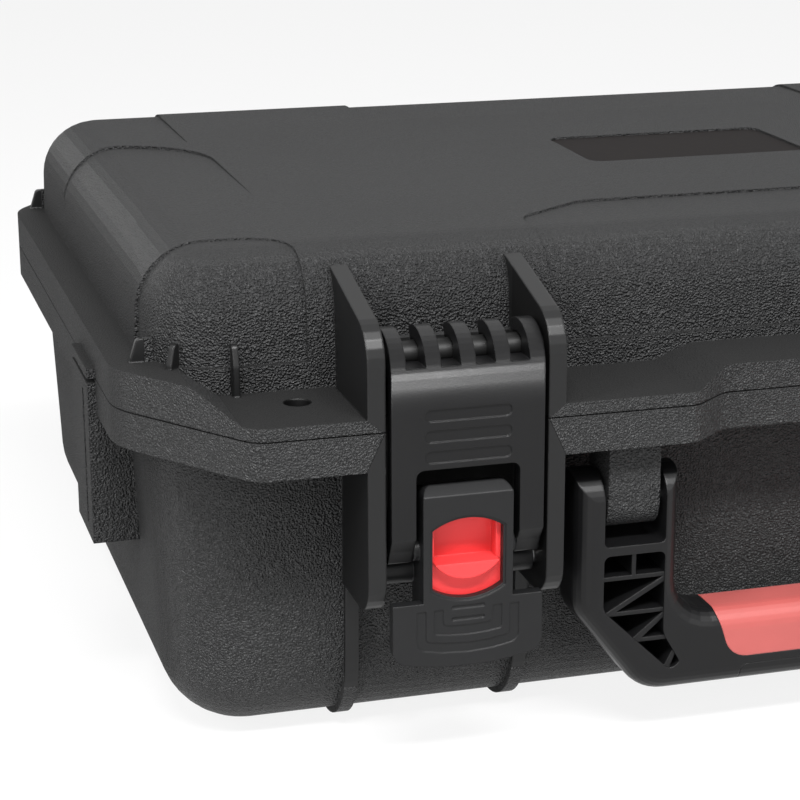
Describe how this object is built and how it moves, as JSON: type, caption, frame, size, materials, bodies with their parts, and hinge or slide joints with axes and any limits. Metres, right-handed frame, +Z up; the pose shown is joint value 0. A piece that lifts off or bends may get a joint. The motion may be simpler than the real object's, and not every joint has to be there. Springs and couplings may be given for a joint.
{
  "type": "camera gimbal case",
  "caption": "Closed hard-shell case for a camera gimbal, dark grey, with claw latches with red release buttons, a folding front handle with a red grip, hinges and cut foam.",
  "frame": {"origin": "middle of the closed case on the ground", "axes": "+X to the viewer's right when facing the latches, +Y from the latches to the hinges, +Z up"},
  "size_m": [0.4494, 0.3257, 0.1514],
  "materials": {
    "shell": "moulded charcoal plastic with a fine texture",
    "satin": "satin near-black plastic",
    "lever": "satin dark grey plastic",
    "button": "satin red plastic",
    "grip": "soft red rubber",
    "rubber": "matt black rubber",
    "foam": "charcoal closed-cell foam",
    "steel": "plain steel",
    "label": "bare dark plate"
  },
  "bodies": {
    "base": {"base_shell": "shell", "base_rim": "shell", "handle_lug_left": "shell", "handle_lug_right": "shell", "base_eye_left": "shell", "base_eye_right": "shell", "foam_pad": "foam", "foam_tray": "foam", "hinge_pin_left": "steel", "hinge_pin_right": "steel", "handle_pin_left": "steel", "handle_pin_right": "steel", "lever_pin_left": "steel", "lever_pin_right": "steel"},
    "lid": {"lid_shell": "shell", "lid_eye_left": "shell", "lid_eye_right": "shell", "seal": "rubber", "lid_foam": "foam", "label_plate": "label"},
    "handle": {"handle_frame": "satin", "handle_grip": "grip", "handle_cover": "satin"},
    "lever_left": {"lever_left": "lever", "lever_back_left": "satin", "claw_pins_left": "steel", "button_spring_left": "steel"},
    "claw_left": {"claw_left": "satin"},
    "button_left": {"button_left": "button"},
    "lever_right": {"lever_right": "lever", "lever_back_right": "satin", "claw_pins_right": "steel", "button_spring_right": "steel"},
    "claw_right": {"claw_right": "satin"},
    "button_right": {"button_right": "button"}
  },
  "joints": [
    {"name": "lid_hinge", "type": "hinge", "parent": "base", "child": "lid", "pos_m": [0, 0.15885, 0.105], "axis": [-1, 0, 0], "range_deg": [0, 105]},
    {"name": "handle_pivot", "type": "hinge", "parent": "base", "child": "handle", "pos_m": [0, -0.14775, 0.0745], "axis": [-1, 0, 0], "range_deg": [0, 95]},
    {"name": "lever_left_pivot", "type": "hinge", "parent": "base", "child": "lever_left", "pos_m": [-0.1295, -0.14925, 0.06], "axis": [-1, 0, 0], "range_deg": [0, 45]},
    {"name": "claw_left_pivot", "type": "hinge", "parent": "lever_left", "child": "claw_left", "pos_m": [-0.1295, -0.15675, 0.068], "axis": [1, 0, 0], "range_deg": [0, 72]},
    {"name": "button_left_slide", "type": "slide", "parent": "lever_left", "child": "button_left", "axis": [0, 0, -1], "range_m": [0, 0.003], "stiffness_N_per_m": 300, "springref_m": -0.002, "deforming": ["button_spring_left"]},
    {"name": "lever_right_pivot", "type": "hinge", "parent": "base", "child": "lever_right", "pos_m": [0.1295, -0.14925, 0.06], "axis": [-1, 0, 0], "range_deg": [0, 45]},
    {"name": "claw_right_pivot", "type": "hinge", "parent": "lever_right", "child": "claw_right", "pos_m": [0.1295, -0.15675, 0.068], "axis": [1, 0, 0], "range_deg": [0, 72]},
    {"name": "button_right_slide", "type": "slide", "parent": "lever_right", "child": "button_right", "axis": [0, 0, -1], "range_m": [0, 0.003], "stiffness_N_per_m": 300, "springref_m": -0.002, "deforming": ["button_spring_right"]}
  ],
  "couplings": [
    {"joint": "claw_left_pivot", "follows": "lever_left_pivot", "ratio": 1.6},
    {"joint": "claw_right_pivot", "follows": "lever_right_pivot", "ratio": 1.6}
  ]
}
